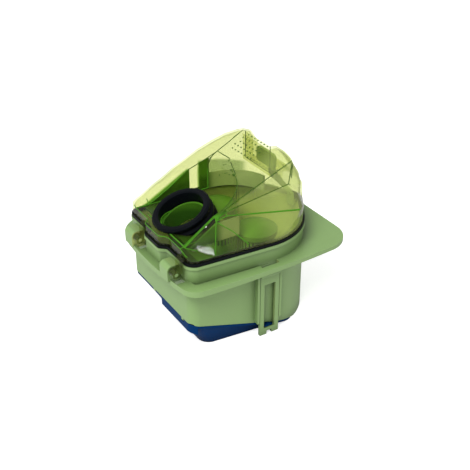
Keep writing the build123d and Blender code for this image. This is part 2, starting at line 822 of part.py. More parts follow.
def inlet_duct():
    """Green duct in the lid: tilted throat, plate under the recess and the guide walls beside it."""
    top = deck_top - lid_wall - duct_gap
    low_x, high_x = duct_x
    far_y = ridge_y + lid_wall + duct_gap
    near_y = recess_near_y - lid_wall - duct_gap
    duct = box((low_x, near_y - duct_wall, top - duct_plate), (high_x, far_y + duct_wall, top))
    far_points = [(low_x, top - duct_plate), (low_x, along(ridge_line, low_x) - duct_far_drop)]
    far_points += [(x, z - duct_far_drop) for x, z in ridge_line if low_x < x < duct_window_x[0]]
    window_start, window_end = [(x, along(ridge_line, x) - duct_far_drop) for x in duct_window_x]
    far_points += [window_start] + [(x, top + duct_sill) for x in duct_window_x] + [window_end]
    far_points += [(duct_far_end_x, along(ridge_line, duct_far_end_x) - duct_far_drop), (duct_far_end_x, top)]
    far_points += [(high_x, top), (high_x, top - duct_plate)]
    duct += side_slab(far_points, far_y, far_y + duct_wall)
    fin = [between(fin_foot, fan_apex, x)[1] - duct_near_drop for x in (low_x, fan_apex[0])]
    near_points = [(low_x, top - duct_plate), (low_x, max(fin[0], top)), (fan_apex[0], fin[1]),
                   (high_x, fin[1]), (high_x, top - duct_plate)]
    duct += side_slab(near_points, near_y - duct_wall, near_y)
    centre_y = far_y + duct_wall - volute_r
    low_z = top
    ring = post(duct_far_end_x, centre_y, volute_r, low_z, volute_top)
    ring -= post(duct_far_end_x, centre_y, volute_r - duct_wall, 0, REACH)
    duct += ring & box((duct_far_end_x - overlap, volute_end_y, 0), (REACH, REACH, REACH))
    duct += throat_bar(throat_r + throat_wall, 0)
    return duct - throat_bar(throat_r, -throat_span[1])


def lid_gasket():
    ring = prism(offset(RIM, gasket_out), rim_top + seal_gap, lid_seat)
    return ring - prism(offset(RIM, -gasket_in), 0, REACH)


def inlet_seal_ring():
    """Bellows seal turned about the tilted inlet axis and cut level by the deck."""
    outer, inner, lip, groove = seal_outer_r, seal_inner_r, seal_lip, seal_groove
    profile = Polyline(
        (inner, -0.6 * groove), (inner + groove, 0), (outer - groove, 0), (outer, -groove), (outer, -lip),
        (outer - groove, -lip - 0.75 * groove), (outer - groove, -lip - 2 * groove),
        (outer + seal_bulge / 2, -lip - 3 * groove), (outer + seal_bulge / 2, -lip - 4.5 * groove),
        (outer - groove / 2, -lip - 5.5 * groove), (outer - groove / 2, -lip - 6.5 * groove),
        (outer + seal_bulge, -lip - 7.5 * groove), (outer + seal_bulge, -seal_depth), (inner, -seal_depth),
        close=True)
    section = make_face(Plane.XZ * profile)
    ring = seal_frame() * revolve(section, axis=Axis.Z)
    return ring - box((-REACH, -REACH, -REACH), (REACH, REACH, deck_top))


# Base flap

def base_flap():
    outline = offset(TUB, -flap_inset)
    rear_end = box((-REACH, -REACH, -REACH), (flap_rear_x, REACH, REACH))
    wedge = prism(outline, 0, part_line_high) & below_part_line(-flap_gap, part_line_end_x) & rear_end
    plate = wedge - below_part_line(-flap_gap - flap_plate)
    skirt = wedge - below_part_line(-flap_gap - skirt_depth)
    skirt &= box((-REACH, -REACH, 0), (rim_hinge_x + skirt_thick, skirt_far_y, REACH))
    rounds = [hull_corner, hull_edge_round, hull_edge_round, hull_corner]
    near_rear_y = near_wall_y(flap_rear_x)
    half_flare = hull_flare / 2
    foot_face = closed_face([(hull_front_x, hull_near_y), (flap_rear_x, near_rear_y + half_flare),
                             (flap_rear_x, hull_far_y), (hull_front_x, hull_far_y)], rounds)
    head_face = closed_face([(rim_hinge_x, near_wall_y(rim_hinge_x) - overlap),
                             (flap_rear_x + overlap, near_rear_y - overlap),
                             (flap_rear_x + overlap, hull_far_y + hull_flare),
                             (rim_hinge_x, hull_far_y + hull_flare)], rounds)
    hull = loft([foot_face, Pos(0, 0, part_line_high) * head_face], ruled=True) & wedge
    sump_face = offset(offset(TUB, -tub_wall), -dump_ledge)
    sump = loft([Pos(0, 0, flap_wall) * offset(foot_face, -flap_wall),
                 Pos(0, 0, part_line_high + overlap) * offset(head_face, -flap_wall)], ruled=True)
    sump &= prism(sump_face, 0, REACH) & box((-REACH, -REACH, 0), (tray_end_x, REACH, REACH))
    sump -= box((dump_end_x, -REACH, 0), (dump_end_x + flap_wall, REACH, REACH))
    flap = plate + hull
    flap += skirt
    flap -= sump
    x, z = flap_axis()
    flap -= flap_tongues(flap_gap)
    for y in flap_tongue_y:
        flap -= box((-REACH, y - flap_gap, z - flap_hinge_r), (x, y + flap_tongue_width + flap_gap, REACH))
    flap -= flap_pin(flap_pin_r + pin_run)
    nub = latch_nub()
    flap += nub
    flap += far_copy(nub)
    flap -= prism(base_seal_face(fit_gap), 0, REACH) - below_part_line(-flap_gap - base_seal_height / 2)
    return flap


def latch_nub():
    """Tongue on the flap's near edge that stands in the latch window above its bar."""
    low = latch_bar_top + latch_nub_gap
    high = low + latch_nub_height
    root_y = near_wall_y(latch_x) + latch_nub_root
    tip_y = -latch_face_y + latch_nub_inset
    slope = latch_nub_height / 2
    points = [(root_y, low), (tip_y + slope, low), (tip_y, low + slope), (tip_y, high), (root_y, high)]
    outline = make_face(Polyline(*[(0, y, z) for y, z in points], close=True))
    nub = extrude(outline, amount=latch_nub_width, dir=(1, 0, 0))
    return (Pos(latch_x - latch_nub_width / 2, 0, 0) * nub) & below_part_line(-flap_gap)


def base_seal_face(grow):
    inner_wall = offset(TUB, -tub_wall)
    outer = offset(inner_wall, -dump_ledge + base_seal_width + base_seal_edge + grow)
    inner = offset(inner_wall, -dump_ledge + base_seal_edge - grow)
    edge = dump_end_x + base_seal_width + base_seal_edge
    outer_part = outer & Pos(edge - REACH + grow, 0) * Rectangle(2 * REACH, 2 * REACH)
    inner_part = inner & Pos(dump_end_x + base_seal_edge - REACH - grow, 0) * Rectangle(2 * REACH, 2 * REACH)
    return outer_part - inner_part


def base_seal():
    """Seal around the dump opening, set in the flap's groove."""
    band = prism(base_seal_face(0), 0, REACH)
    band &= below_part_line(-flap_gap / 4)
    return band - below_part_line(-flap_gap - base_seal_height / 2)


# Side latches

def side_latch():
    """Near latch arm: long window, catch bar, two short prongs."""
    low_y = -latch_face_y
    high_y = low_y + latch_thick
    arm = box((latch_left, low_y, latch_foot), (latch_right, high_y, latch_pivot_z))
    arm += bar_x(-latch_pivot_y, latch_pivot_z, latch_thick / 2 + latch_pivot_wall, latch_left, latch_right)
    half = latch_window_width / 2
    arm -= box((latch_x - half, -REACH, latch_bar_top), (latch_x + half, REACH, latch_window_top))
    half = latch_notch_width / 2
    arm -= box((latch_x - half, -REACH, 0), (latch_x + half, REACH, latch_bar_top - latch_bar_depth))
    return arm - latch_pin(latch_pin_r + pin_run)


# Lid catch

def lid_catch():
    """Rocking catch: pad in the finger pocket, boss on its pin, leg down to the hook under the ledge."""
    x, z = catch_axis
    low_y, high_y = catch_y
    pad_back = catch_pad_x + catch_pad_thick
    neck = [(catch_pad_x, pocket_floor + catch_pad_gap + overlap), (catch_pad_x, z + catch_boss_r),
            (x - catch_boss_r / 2, z), (x + catch_boss_r / 2, z + catch_boss_r / 2),
            (pad_back, pocket_floor - lid_wall), (pad_back, pocket_floor + catch_pad_gap + overlap)]
    leg_front = ledge_x - ledge_gap
    leg_back = leg_front - catch_leg
    hook_top = ledge_z[0] - seal_gap
    tip_x = ledge_x + catch_hook_grip
    half = catch_arm_half
    leg = [(x + half, z + half), (leg_front, catch_elbow_z + half), (leg_front, hook_top), (tip_x, hook_top),
           (leg_front, hook_top - catch_hook_height), (leg_back, hook_top - catch_hook_height),
           (leg_back, catch_elbow_z), (x - half, z - half)]
    arm = side_slab(neck, low_y, high_y) + side_slab(leg, low_y, high_y)
    arm += bar_y(x, z, catch_boss_r, low_y, high_y)
    middle = (low_y + high_y) / 2
    room = spring_half + 2 * spring_gap
    arm -= bar_y(x, z, spring_r + 4 * spring_gap, middle - room, middle + room)
    arm -= box((0, middle - room, z), (x + spring_r, middle + room, pocket_floor + catch_pad_gap))
    pad = box((catch_pad_x, catch_pad_y[0], pocket_floor + catch_pad_gap),
              (pad_back, catch_pad_y[1], catch_pad_top))
    pad = fillet(pad.edges().filter_by(Axis.X), catch_pad_round)
    return arm + pad - bar_y(x, z, catch_pin_r + pin_run, -REACH, REACH)


def lid_catch_spring():
    """Torsion spring on the catch pin, its leg bearing on the pocket floor from below."""
    x, z = catch_axis
    middle = (catch_y[0] + catch_y[1]) / 2
    pitch = 2 * spring_half / spring_turns
    inner = catch_pin_r + spring_gap
    points = [(inner, -spring_half)]
    for turn in range(spring_turns):
        low = -spring_half + turn * pitch
        points.append((spring_r - pitch / 4, low))
        points.append((spring_r, low + pitch / 2))
        points.append((spring_r - pitch / 4, low + spring_coil_share * pitch))
    points.append((inner, spring_half))
    section = make_face(Polyline(*[(r, 0, h) for r, h in points], close=True))
    coil = Pos(x, middle, z) * Rot(-90, 0, 0) * revolve(section, axis=Axis.Z)
    leg_x = x + spring_r - spring_wire_r - spring_gap
    leg = post(leg_x, middle, spring_wire_r, z, pocket_floor - lid_wall - spring_gap)
    return coil + leg


def catch_pin(radius):
    reach = catch_side_gap + catch_ear_width
    return bar_y(*catch_axis, radius, catch_y[0] - reach, catch_y[1] + reach)


# Separator

def separator_deck():
    outline = offset(TUB, -tub_wall - deck_clearance)
    top = deck_level + deck_plate
    plate = prism(outline, deck_level, top)
    plate &= box((deck_front_x, -REACH, 0), (REACH, REACH, REACH))
    apron = prism(outline, 0, deck_level + overlap)
    apron &= box((deck_front_x, -REACH, 0), (deck_front_x + deck_plate, REACH, REACH))
    apron -= below_part_line(tub_floor + seal_gap)
    deck = plate + apron
    for y in (-shroud_y, shroud_y):
        deck += post(shroud_x, y, shroud_r - shroud_wall - fit_gap, deck_level, top + deck_collar)
        deck -= post(shroud_x, y, vortex_r + fit_gap / 2, 0, REACH)
    for x, y in screw_places():
        deck -= post(x, y, screw_r + screw_hole_gap, 0, top + overlap)
    return deck


def shroud(y, top):
    """Slotted cage around the vortex tube."""
    cage = post(shroud_x, y, shroud_r, deck_level + deck_plate, top)
    cage -= post(shroud_x, y, shroud_r - shroud_wall, 0, REACH)
    slot = box((shroud_r - 2 * shroud_wall, -shroud_slot_width / 2, shroud_slot_low),
               (shroud_r + shroud_wall, shroud_slot_width / 2, top - shroud_slot_drop))
    slots = [Pos(shroud_x, y, 0) * Rot(0, 0, 360 * i / shroud_slots) * slot for i in range(shroud_slots)]
    return cage - slots


def dome_arc(radius, base, rise):
    """Half of a dome's outline in the XZ plane, from its crown to its rim."""
    sphere_r = (radius ** 2 + rise ** 2) / (2 * rise)
    centre = base + rise - sphere_r
    middle = radius / 2
    bend = (middle, 0, centre + math.sqrt(sphere_r ** 2 - middle ** 2))
    return ThreePointArc((0, 0, base + rise), bend, (radius, 0, base))


def shroud_cap(y, top):
    """Domed cap with an overhanging skirt and a spigot into the cage."""
    spigot_r = shroud_r - shroud_wall - fit_gap
    shoulder = top + cap_shoulder
    hem = top - cap_skirt
    foot = top - cap_spigot
    outer_dome = dome_arc(cap_r, shoulder, cap_rise - cap_shoulder)
    inner_dome = dome_arc(spigot_r - cap_wall, top + cap_wall, cap_rise - 2 * cap_wall)
    wall = Polyline((cap_r, 0, shoulder), (cap_r, 0, hem), (cap_r - cap_wall, 0, hem),
                    (cap_r - cap_wall, 0, top), (spigot_r, 0, top), (spigot_r, 0, foot),
                    (spigot_r - cap_wall, 0, foot), inner_dome @ 1)
    axis_line = Line(inner_dome @ 0, outer_dome @ 0)
    section = make_face([outer_dome, wall, inner_dome, axis_line])
    return Pos(shroud_x, y, 0) * revolve(section, axis=Axis.Z)


def vortex_tube(y):
    """Clean-air tube standing through the deck on its own flange."""
    low = deck_level - vortex_drop
    seat = deck_level + deck_plate + deck_collar
    tube = post(shroud_x, y, vortex_r, low, vortex_top)
    tube += post(shroud_x, y, vortex_r + vortex_flange, seat, seat + vortex_flange_thick)
    return tube - post(shroud_x, y, vortex_r - vortex_wall, 0, REACH)


def deck_screws():
    screws = Part()
    head = deck_level + deck_plate
    for x, y in screw_places():
        screw = post(x, y, screw_r - pin_press, head - screw_length + screw_head_height, head)
        screw += post(x, y, screw_head_r, head, head + screw_head_height)
        slot = Pos(x, y, head + screw_head_height / 2) * Box(*screw_slot, 2 * screw_head_height,
                                                            align=(Align.CENTER, Align.CENTER, Align.MIN))
        screws += screw - slot
    return screws


# Outlet filter

def filter_frame():
    low_x, high_x = outlet_x[0] - filter_frame_wall, outlet_x[1] + filter_frame_wall
    half = outlet_half + filter_frame_wall
    frame = box((low_x, -half, tub_floor), (high_x, half, tub_floor + filter_frame_height))
    frame -= box((outlet_x[0], -outlet_half, 0), (outlet_x[1], outlet_half, REACH))
    ledge = box((low_x, -half, tub_floor), (high_x, half, tub_floor + filter_frame_wall))
    ledge -= box((outlet_x[0] + filter_frame_wall, -outlet_half + filter_frame_wall, 0),
                 (outlet_x[1] - filter_frame_wall, outlet_half - filter_frame_wall, REACH))
    return frame + ledge


def pleated_filter():
    """Pleated sheet standing in the frame."""
    low = tub_floor + filter_frame_wall + fit_gap
    high = tub_floor + filter_frame_height - overlap
    span = outlet_x[1] - outlet_x[0] - 2 * filter_margin
    pitch = span / filter_pleats
    upper, lower = [], []
    for i in range(2 * filter_pleats + 1):
        x = outlet_x[0] + filter_margin + i * pitch / 2
        z = low if i % 2 == 0 else high - filter_sheet
        upper.append((x, z + filter_sheet))
        lower.append((x, z))
    half = outlet_half - filter_margin
    return side_slab(upper + lower[::-1], -half, half)


def build():
    near_latch = side_latch()
    near_pin = latch_pin(latch_pin_r)
    nodes = {
        "bin_tub": bin_tub(),
        "lid_hood": lid_hood(),
        "inlet_duct": inlet_duct(),
        "lid_gasket": lid_gasket(),
        "inlet_seal_ring": inlet_seal_ring(),
        "lid_hinge_pin_far": hinge_pin_bar(hinge_knuckle_near_y[0], hinge_pin_r),
        "lid_hinge_pin_near": hinge_pin_bar(hinge_knuckle_near_y[1], hinge_pin_r),
        "base_flap": base_flap(),
        "base_seal": base_seal(),
        "base_hinge_pin": flap_pin(flap_pin_r),
        "side_latch_near": near_latch,
        "side_latch_far": far_copy(near_latch),
        "side_latch_pin_near": near_pin,
        "side_latch_pin_far": far_copy(near_pin),
        "lid_catch": lid_catch(),
        "lid_catch_pin": catch_pin(catch_pin_r),
        "lid_catch_spring": lid_catch_spring(),
        "separator_deck": separator_deck(),
        "shroud_near": shroud(-shroud_y, shroud_top_near),
        "shroud_far": shroud(shroud_y, shroud_top_far),
        "shroud_cap_near": shroud_cap(-shroud_y, shroud_top_near),
        "shroud_cap_far": shroud_cap(shroud_y, shroud_top_far),
        "vortex_tube_near": vortex_tube(-shroud_y),
        "vortex_tube_far": vortex_tube(shroud_y),
        "deck_screws": deck_screws(),
        "filter_frame": filter_frame(),
        "pleated_filter": pleated_filter(),
    }
    os.makedirs("parts", exist_ok=True)
    for name, shape in nodes.items():
        export_step(Pos(-bin_middle_x, 0, 0) * shape, f"parts/{name}.step")


build()
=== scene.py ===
import math

import bpy
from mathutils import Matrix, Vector


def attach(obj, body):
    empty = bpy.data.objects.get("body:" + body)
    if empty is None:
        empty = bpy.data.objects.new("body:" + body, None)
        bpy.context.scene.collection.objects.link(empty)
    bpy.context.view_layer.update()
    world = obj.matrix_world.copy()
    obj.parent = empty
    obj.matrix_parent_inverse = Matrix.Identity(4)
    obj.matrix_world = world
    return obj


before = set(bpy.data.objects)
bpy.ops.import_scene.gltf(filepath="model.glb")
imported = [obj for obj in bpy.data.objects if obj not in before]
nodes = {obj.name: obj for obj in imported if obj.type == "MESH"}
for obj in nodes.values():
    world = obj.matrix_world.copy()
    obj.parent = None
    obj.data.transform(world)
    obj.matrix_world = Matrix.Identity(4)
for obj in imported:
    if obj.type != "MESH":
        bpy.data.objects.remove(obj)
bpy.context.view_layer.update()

# Camera, fitted to the photograph's perspective (metres, degrees, pixels)
PHOTO_PIXELS = 470
FOCAL_PIXELS = 800
CAMERA_AIM = Vector((0.00495, 0.0, 0.0836))
CAMERA_DISTANCE = 0.901
CAMERA_SWING = 32.3
CAMERA_RAISE = 30.8
CAMERA_NEAREST = 0.01

# Studio (metres, watts)
FLOOR_SIZE = 8
FLOOR_DROP = 0.0002             # keeps the floor just under the standing face
FLOOR_GREY = (0.82, 0.82, 0.82)
FLOOR_ROUGHNESS = 0.9
FLOOR_GLOW = 0.65               # brings the floor up to white for the camera alone
WORLD_LIGHT = 0.5               # strength that lights the part, while the camera sees white
LAMPS = (
    # name, place, width, depth, power, seen in glossy pieces
    ("key", (-1.16, -0.64, 1.82), 1.0, 1.0, 36, False),
    ("glint", (-0.931, -1.196, 1.665), 0.5, 0.045, 2, True),
)

# Finishes, as linear colours
TUB_GREEN = (0.235, 0.385, 0.128)
TUB_PALE = (0.33, 0.47, 0.22)
# painted light on the tub's inward walls below the rim
TUB_INSIDE_PAINTED_LIGHT = (0.74, 0.85, 0.28)
DUCT_GREEN = (0.070, 0.215, 0.012)
# painted light on the duct's tall wall and mouth, painted shade on its foot
DUCT_TALL_PAINTED_LIGHT = (0.150, 0.440, 0.022)
DUCT_SHADE = (0.022, 0.085, 0.006)
DUCT_PALE = (0.10, 0.28, 0.03)
DUCT_MOUTH_PAINTED_LIGHT = (0.52, 0.62, 0.32)
SHROUD_GREEN = (0.145, 0.365, 0.036)
SHROUD_PALE = (0.24, 0.45, 0.07)
HOOD_TINT = (0.868, 0.884, 0.712)
HOOD_DEEP = (0.50, 0.58, 0.20)
# haze colour; on the near walls the haze is mostly painted light
HOOD_HAZE = (0.60, 0.72, 0.22)
HOOD_SHADOW = (0.94, 0.95, 0.86)
# painted shade on the hood's far wall, darker at the front and olive towards the rear
WALL_DARK = (0.24, 0.44, 0.07)
WALL_OLIVE = (0.53, 0.60, 0.39)
CREASE_GREEN = (0.050, 0.090, 0.008)
# painted highlight on the lower fold lines
CREASE_BRIGHT = (0.070, 0.280, 0.012)
FLAP_BLUE = (0.001, 0.030, 0.118)
FLAP_PALE = (0.002, 0.042, 0.150)
SEAL_BLACK = (0.002, 0.003, 0.004)
SEAL_GREY = (0.008, 0.010, 0.014)
# lighter than the tub's green: painted light on the catch under the hood's roof
CATCH_GREEN = (0.50, 0.66, 0.26)
PIN_STEEL = (0.55, 0.55, 0.55)
PIN_BRIGHT = (0.7, 0.7, 0.7)
FILTER_WHITE = (0.75, 0.75, 0.68)
FILTER_SHADE = (0.6, 0.6, 0.52)

# Skin of the moulded pieces
WELD_GAP = 1e-6
ROUND_ANGLE = 24.0              # flatter edges than this shade as one rounded surface
HOOD_ROUND_ANGLE = 11.0
EDGE_RADIUS = 0.0005            # softened corners of the mouldings, and the reach of their painted edge highlight
RECESS_REACH = 0.018            # how far the painted shade in recesses looks for a wall
RECESS_DARK = 0.12              # share of the colour left under the painted shade in the deepest recess
SKIN_SAMPLES = 6                # rays for each soft corner and recess
CLOUD_DETAIL = 3
GRAIN_DETAIL = 2
GRAIN_HEIGHT = 0.0004

# Where a colour changes: each pair gives the start and the end of the change, in metres
TUB_RIM_Z = (0.112, 0.110)      # the painted light on the tub's inside lies below its rim
TUB_INWARD = (0.0, -0.02)       # a wall's normal times its place, which is negative on the inside
# where the duct's painted shade on its foot and painted light on its tall wall and mouth begin
DUCT_FOOT_Z = (0.118, 0.128)
DUCT_TALL_Z = (0.132, 0.142)
DUCT_MOUTH_X = (-0.027, -0.015)
DUCT_MOUTH_SKEW = -0.48         # change of the mouth's x with y
# the lower fold lines get the painted highlight
CREASE_BRIGHT_Z = (0.150, 0.146)

# Painted shade on the hood's far wall, under an arch, apart from a clear gap beside the inlet that shows
# white as a painted highlight
ARCH_RISE = 0.473               # slope up to the part's middle
ARCH_FALL = -0.15               # slope from there to the rear
ARCH_TOP_Z = (0.150, 0.146)
FAR_WALL_Y = (0.054, 0.060)
FAR_GAP_START_X = (-0.0145, -0.0125)
FAR_GAP_END_X = (0.001, -0.001)
WALL_OLIVE_X = (-0.006, 0.010)

# Haze on the hood's near side, as shares; beyond the slight haze all over, it is painted light for the lit
# inside
HAZE_ALL_OVER = 0.02
HAZE_NEAR = 0.05
HAZE_NEAR_Y = (0.0, -0.030)
HAZE_NEAR_X = (-0.052, -0.042)
HAZE_REAR = 0.25
HAZE_REAR_X = (-0.015, 0.025)
HAZE_HIGH = 0.20
HAZE_HIGH_Z = (0.146, 0.154)
ROOF_NORMAL_X = -0.36
ROOF_NORMAL_Z = 0.93
ROOF_LEVEL = (0.1535, 0.1510)   # along the roof's normal, from the clear roof to the hazy walls under it
HAZE_OVER_CATCH = 0.45          # share of the haze that the roof above the catch keeps
HAZE_OVER_CATCH_X = (0.012, 0.026)

# Shine of the hood
HOOD_ROUGHNESS = 0.04
SHINE_FACING = 0.022            # mirror's share on a wall seen straight on
SHINE_EDGE = 0.9                # what a slanting view adds to it
SHINE_POWER = 5.0
TINT_POWER = 6.0                # how late the tint deepens on a wall seen from its edge

# Fold lines of the hood, painted shade along its folds
CREASE_SIDES = 5
CREASE_RADIUS = 0.0005
CREASE_WIDER = 0.7              # share that the low rear fold gains in width
CREASE_WIDE_Z = 0.146
CREASE_LIFT = 0.0004
CREASE_VIEWS = ((0, 0, 1), (-0.2, -0.5, 0.84))   # a fold open to one of these gets a line
CREASE_ANGLE = 8.2
FAN_ANGLE = 2.5                 # flatter folds count too on the fan beside the inlet
FAN_START_X = -0.050
FAN_END_X = -0.020
FAN_Y = -0.046
CREASE_FAR_Y = 0.0535
CREASE_LOW_Z = 0.1186
CREASE_MIDDLE_Z = 0.1235        # lowest fold line at the part's middle
CREASE_RISE = 0.25              # and its rise towards the rear
CREASE_REAR_X = 0.0495
CREASE_CLEAR_X = 0.0445         # behind this, only folds between the two heights get a line
CREASE_CLEAR_LOW_Z = 0.146
CREASE_CLEAR_TOP_Z = 0.1785

# Grip dots on the hood's roof
DOT_SIDES = 10
DOT_PITCH = 0.0062
DOT_RADIUS = 0.00095
DOT_HEIGHT = 0.0004
DOT_CORNER = (0.0245, -0.001)   # x and y of the first dot
DOT_ROWS = 6
DOTS_PER_ROW = 7
DOT_STEEPEST = 0.8              # least upward share of the roof's normal under a dot
DOT_DROP_Z = 0.25               # height from which the dots are laid
RAY_REACH = 1.0                 # longer than the part in any direction


def new_material(name):
    """New material with its node tree."""
    material = bpy.data.materials.new(name)
    material.use_nodes = True
    return material, material.node_tree


def add_socket(tree, name, way, kind, value=None):
    socket = tree.interface.new_socket(name=name, in_out=way, socket_type=kind)
    if value is not None:
        socket.default_value = value


def add_numbers(tree, **values):
    """Named number inputs of a tree; an underscore stands for a space."""
    for name, value in values.items():
        add_socket(tree, name.replace("_", " "), "INPUT", "NodeSocketFloat", value)


def math_node(tree, operation, *values):
    """Math node whose inputs are sockets or plain numbers; returns its output socket."""
    node = tree.nodes.new("ShaderNodeMath")
    node.operation = operation
    for socket, value in zip(node.inputs, values):
        if isinstance(value, (int, float)):
            socket.default_value = value
        else:
            tree.links.new(value, socket)
    return node.outputs[0]


def vector_math(tree, operation, *values):
    """Vector Math node whose inputs are sockets or plain vectors; returns the node."""
    node = tree.nodes.new("ShaderNodeVectorMath")
    node.operation = operation
    for socket, value in zip(node.inputs, values):
        if isinstance(value, tuple):
            socket.default_value = value
        else:
            tree.links.new(value, socket)
    return node


def mix_colours(tree, factor, first, second):
    """Colour mix whose inputs are sockets or plain colours; returns its output socket."""
    node = tree.nodes.new("ShaderNodeMix")
    node.data_type = "RGBA"
    for name, value in (("Factor", factor), ("A", first), ("B", second)):
        socket = [s for s in node.inputs if s.name == name and s.enabled][0]
        if isinstance(value, tuple):
            socket.default_value = (*value, 1)
        else:
            tree.links.new(value, socket)
    return [s for s in node.outputs if s.enabled][0]


def mix_shaders(tree, factor, first, second):
    node = tree.nodes.new("ShaderNodeMixShader")
    tree.links.new(factor, node.inputs["Fac"])
    tree.links.new(first, node.inputs[1])
    tree.links.new(second, node.inputs[2])
    return node.outputs["Shader"]


def ramp(tree, value, start, end):
    """Smooth share of a value, 0 up to the start and 1 from the end on; returns its output socket."""
    node = tree.nodes.new("ShaderNodeMapRange")
    node.interpolation_type = "SMOOTHSTEP"
    tree.links.new(value, node.inputs["Value"])
    node.inputs["From Min"].default_value = start
    node.inputs["From Max"].default_value = end
    return node.outputs["Result"]


def split_place(tree, place):
    """Sockets X, Y and Z of a place or a direction."""
    split = tree.nodes.new("ShaderNodeSeparateXYZ")
    tree.links.new(place, split.inputs[0])
    return split.outputs


def place_in_part(tree):
    """Socket of the shaded spot's place in the part's own frame."""
    return tree.nodes.new("ShaderNodeTexCoord").outputs["Object"]


def moulded_skin_group():
    """Colour drift, painted highlight on edges, painted shade in recesses, uneven gloss and mould texture of
    the mouldings.
    """
    tree = bpy.data.node_groups.new("Moulded skin", "ShaderNodeTree")
    add_socket(tree, "Colour", "INPUT", "NodeSocketColor", (0.5, 0.5, 0.5, 1))
    add_socket(tree, "Drift and highlight colour", "INPUT", "NodeSocketColor", (0.6, 0.6, 0.6, 1))
    add_numbers(tree, Drift=0.3, Drift_scale=14.0, Edge_share=0.5, Recess_shade=0.6,
                Gloss=0.35, Gloss_spread=0.12, Grain_scale=900.0, Grain_depth=0.04)
    add_socket(tree, "Colour", "OUTPUT", "NodeSocketColor")
    add_socket(tree, "Roughness", "OUTPUT", "NodeSocketFloat")
    add_socket(tree, "Normal", "OUTPUT", "NodeSocketVector")
    add, link = tree.nodes.new, tree.links.new
    taken = add("NodeGroupInput").outputs
    given = add("NodeGroupOutput").inputs
    place = place_in_part(tree)
    cloud = add("ShaderNodeTexNoise")
    cloud.inputs["Detail"].default_value = CLOUD_DETAIL
    grain = add("ShaderNodeTexNoise")
    grain.inputs["Detail"].default_value = GRAIN_DETAIL
    for texture, scale in ((cloud, "Drift scale"), (grain, "Grain scale")):
        link(place, texture.inputs["Vector"])
        link(taken[scale], texture.inputs["Scale"])
    soft = add("ShaderNodeBevel")
    soft.samples = SKIN_SAMPLES
    soft.inputs["Radius"].default_value = EDGE_RADIUS
    plain = add("ShaderNodeNewGeometry").outputs["Normal"]
    # painted highlight: the colour turns paler along the softened edges
    turn = vector_math(tree, "DISTANCE", soft.outputs["Normal"], plain).outputs["Value"]
    edge = math_node(tree, "MULTIPLY", turn, taken["Edge share"])
    share = math_node(tree, "MULTIPLY", cloud.outputs["Fac"], taken["Drift"])
    pale = math_node(tree, "MINIMUM", math_node(tree, "ADD", share, edge), 1.0)
    skin_colour = mix_colours(tree, pale, taken["Colour"], taken["Drift and highlight colour"])
    # painted shade: the colour turns darker in recesses, from ambient occlusion
    open_air = add("ShaderNodeAmbientOcclusion")
    open_air.samples = SKIN_SAMPLES
    open_air.inputs["Distance"].default_value = RECESS_REACH
    hidden = math_node(tree, "SUBTRACT", 1.0, open_air.outputs["AO"])
    shade = math_node(tree, "MULTIPLY", hidden, taken["Recess shade"])
    dark = vector_math(tree, "SCALE", taken["Colour"])
    dark.inputs["Scale"].default_value = RECESS_DARK
    link(mix_colours(tree, shade, skin_colour, dark.outputs["Vector"]), given["Colour"])
    gloss = math_node(tree, "MULTIPLY_ADD", grain.outputs["Fac"], taken["Gloss spread"], taken["Gloss"])
    link(gloss, given["Roughness"])
    bump = add("ShaderNodeBump")
    bump.inputs["Distance"].default_value = GRAIN_HEIGHT
    link(grain.outputs["Fac"], bump.inputs["Height"])
    link(taken["Grain depth"], bump.inputs["Strength"])
    link(soft.outputs["Normal"], bump.inputs["Normal"])
    link(bump.outputs["Normal"], given["Normal"])
    return tree


SKIN = moulded_skin_group()


def moulded(name, colour, drift_and_highlight_colour, specular=0.5, **values):
    """Opaque moulded plastic or rubber built on the shared skin."""
    material, tree = new_material(name)
    link = tree.links.new
    shader = tree.nodes["Principled BSDF"]
    shader.inputs["Specular IOR Level"].default_value = specular
    skin = tree.nodes.new("ShaderNodeGroup")
    skin.name = "Skin"
    skin.node_tree = SKIN
    skin.inputs["Colour"].default_value = (*colour, 1)
    skin.inputs["Drift and highlight colour"].default_value = (*drift_and_highlight_colour, 1)
    for key, value in values.items():
        skin.inputs[key.replace("_", " ")].default_value = value
    link(skin.outputs["Colour"], shader.inputs["Base Color"])
    link(skin.outputs["Roughness"], shader.inputs["Roughness"])
    link(skin.outputs["Normal"], shader.inputs["Normal"])
    return material


def colour_skin(tree, colour):
    """Gives a moulded material's skin a colour that changes over the piece."""
    tree.links.new(colour, tree.nodes["Skin"].inputs["Colour"])


def tub_plastic():
    """Tub moulding, with painted light on the walls that face inwards below the rim, standing in for the
    light that comes through them.
    """
    material = moulded("tub_green_moulding", TUB_GREEN, TUB_PALE, Drift=0.3, Gloss=0.34, Recess_shade=0.9)
    tree = material.node_tree
    place = place_in_part(tree)
    height = split_place(tree, place)["Z"]
    level = vector_math(tree, "MULTIPLY", place, (1, 1, 0)).outputs["Vector"]
    normal = tree.nodes.new("ShaderNodeNewGeometry").outputs["Normal"]
    outward = vector_math(tree, "DOT_PRODUCT", level, normal).outputs["Value"]
    # painted light on the inward walls below the rim
    inside = math_node(tree, "MULTIPLY", ramp(tree, outward, *TUB_INWARD), ramp(tree, height, *TUB_RIM_Z))
    colour_skin(tree, mix_colours(tree, inside, TUB_GREEN, TUB_INSIDE_PAINTED_LIGHT))
    return material


